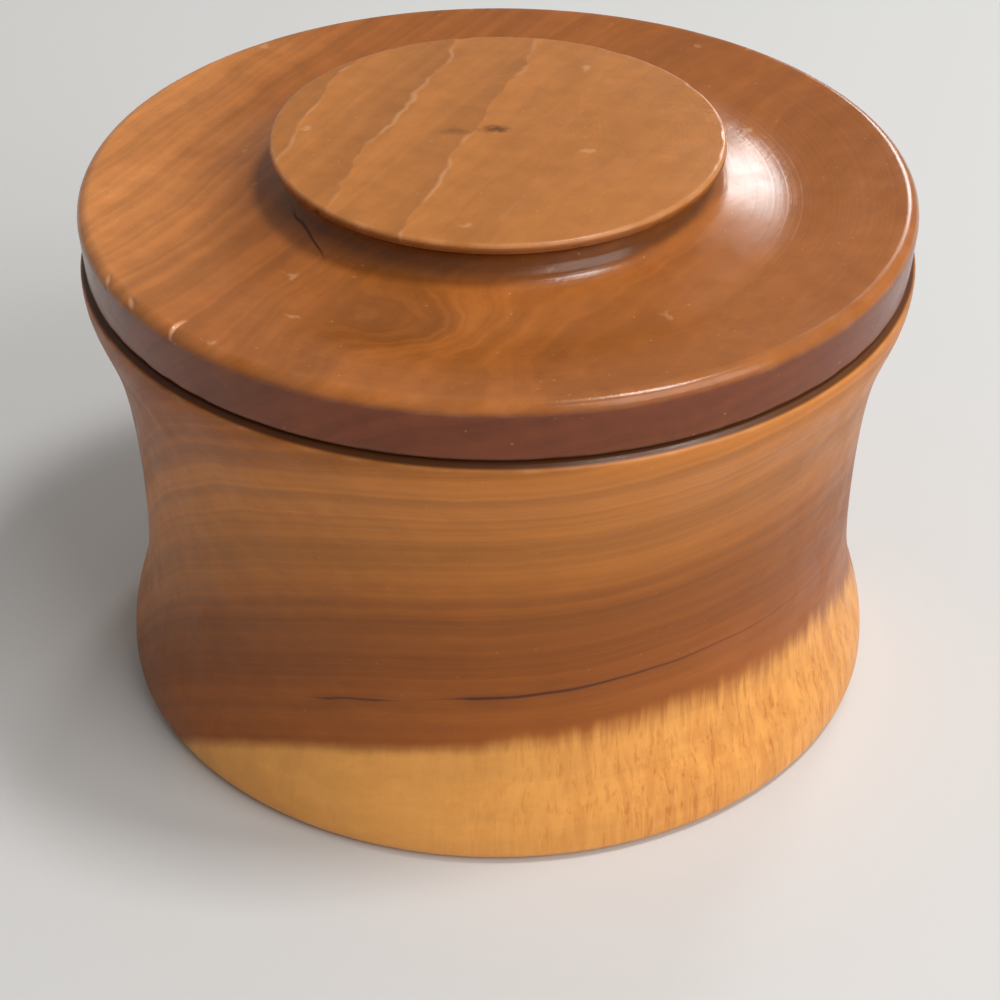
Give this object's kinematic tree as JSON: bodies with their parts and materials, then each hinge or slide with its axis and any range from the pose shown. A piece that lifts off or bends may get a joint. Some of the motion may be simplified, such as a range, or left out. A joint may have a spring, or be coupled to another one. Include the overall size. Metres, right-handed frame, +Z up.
{
  "type": "turned wooden lidded box",
  "caption": "Small round turned wooden box for spices, with a waisted body and a dished lift-off lid with a raised disc to hold it by.",
  "frame": {"origin": "centre of the foot, on the surface it stands on", "axes": "+Z up, along the turning axis"},
  "size_m": [0.1204, 0.1204, 0.0868],
  "materials": {
    "body_wood": "satin waxed heartwood with a band of pale sapwood at the foot",
    "lid_wood": "satin waxed reddish-brown heartwood"
  },
  "bodies": {
    "box_body": {"box_body": "body_wood"},
    "lid": {"lid": "lid_wood"}
  },
  "joints": [
    {"name": "lid_lift", "type": "slide", "parent": "box_body", "child": "lid", "axis": [0, 0, 1], "range_m": [0, 0.09]}
  ]
}
